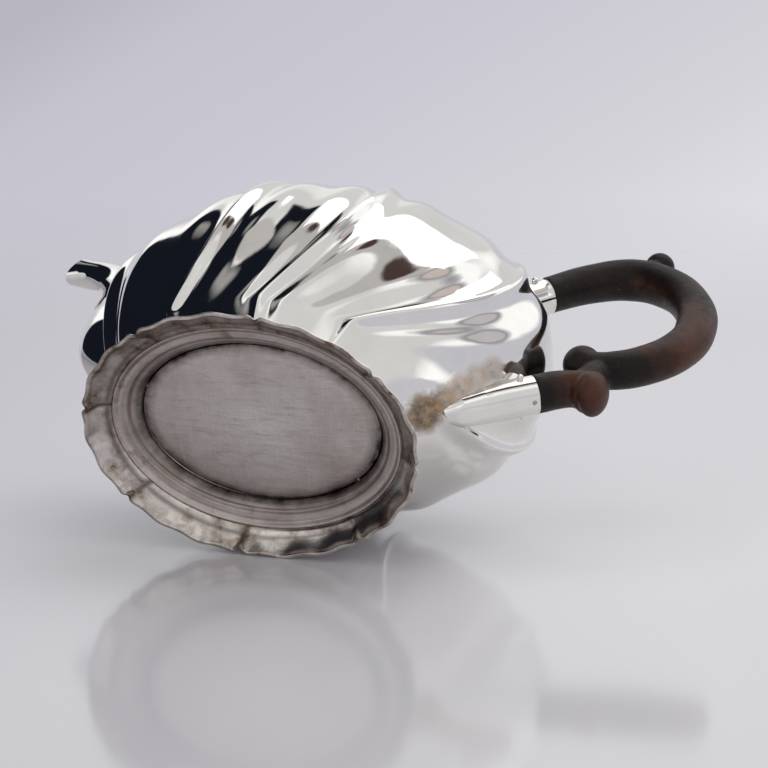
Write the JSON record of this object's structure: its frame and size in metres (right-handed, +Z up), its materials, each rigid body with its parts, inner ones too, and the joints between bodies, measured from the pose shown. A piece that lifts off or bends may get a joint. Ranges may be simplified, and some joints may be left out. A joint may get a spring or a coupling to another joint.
{
  "type": "teapot",
  "caption": "Oval silver teapot with swirling ribs and soft flutes, a fluted spreading foot, a hinged domed lid with a turned finial and a scrolled dark wooden handle.",
  "frame": {"origin": "on the plane that the foot rests on, below the middle of the pot's length over spout and handle and of its width", "axes": "+X towards the handle, -X towards the spout, +Y across the pot, +Z up"},
  "size_m": [0.2528, 0.1172, 0.1685],
  "materials": {
    "silver": "polished silver with fine wear scratches",
    "tarnished_silver": "dull, tarnished and scratched silver of the underside",
    "ebonised_wood": "carved and ebonised fruitwood, worn to a low sheen"
  },
  "bodies": {
    "pot": {"body": "silver", "mouth_rim": "silver", "spout": "silver", "base_plate": "tarnished_silver", "foot_ring": "tarnished_silver", "foot_skirt": "silver", "upper_socket": "silver", "upper_pin": "silver", "lower_socket": "silver", "lower_pin": "silver", "lower_rivet": "silver", "handle": "ebonised_wood", "body_knuckle_left": "silver", "body_knuckle_right": "silver", "hinge_pin": "silver"},
    "lid": {"lid": "silver", "lid_bezel": "silver", "lid_knuckle": "silver", "finial_cup": "silver", "finial": "ebonised_wood", "finial_stud": "silver", "finial_nut": "silver"}
  },
  "joints": [
    {"name": "lid_hinge", "type": "hinge", "parent": "pot", "child": "lid", "pos_m": [0.03631, 0, 0.12597], "axis": [0, 1, 0], "range_deg": [0, 95]}
  ]
}
